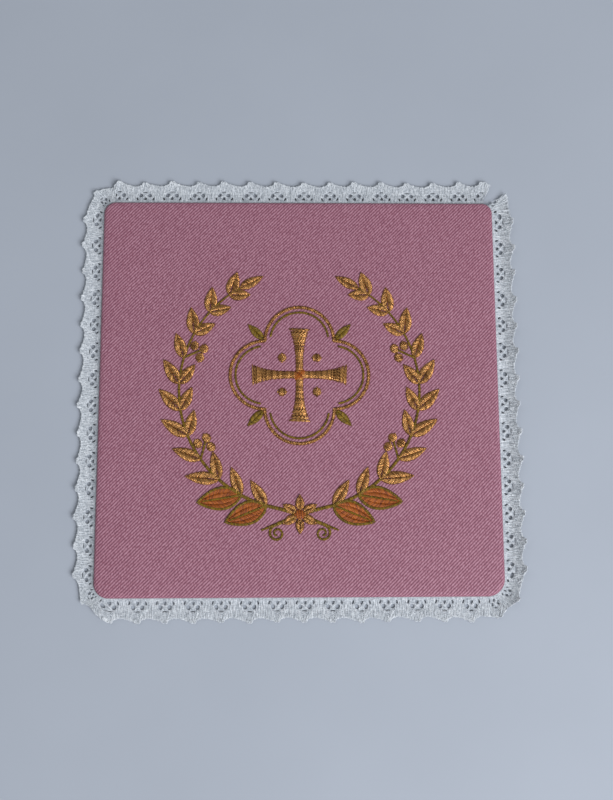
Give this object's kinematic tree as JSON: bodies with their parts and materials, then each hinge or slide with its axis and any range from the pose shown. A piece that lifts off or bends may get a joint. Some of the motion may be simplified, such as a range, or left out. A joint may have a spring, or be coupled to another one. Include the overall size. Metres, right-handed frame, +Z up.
{
  "type": "chalice pall",
  "caption": "Stiffened square cloth cover for a cup, rose twill with embroidery, lying flat, with a gathered white lace edging.",
  "frame": {"origin": "middle of the stiffened square, on its flat underside, on the surface that it lies on", "axes": "+Z up out of the embroidered face; +Y towards the top of the design; +X to the right as the design is seen"},
  "size_m": [0.1672, 0.1689, 0.0041],
  "materials": {
    "rose_twill": "woven twill, slightly lustrous, embroidered in gold, olive and rust thread",
    "white_lace": "matt cotton lace"
  },
  "bodies": {
    "root": {"square": "rose_twill", "lace_edging": "white_lace"}
  },
  "joints": []
}
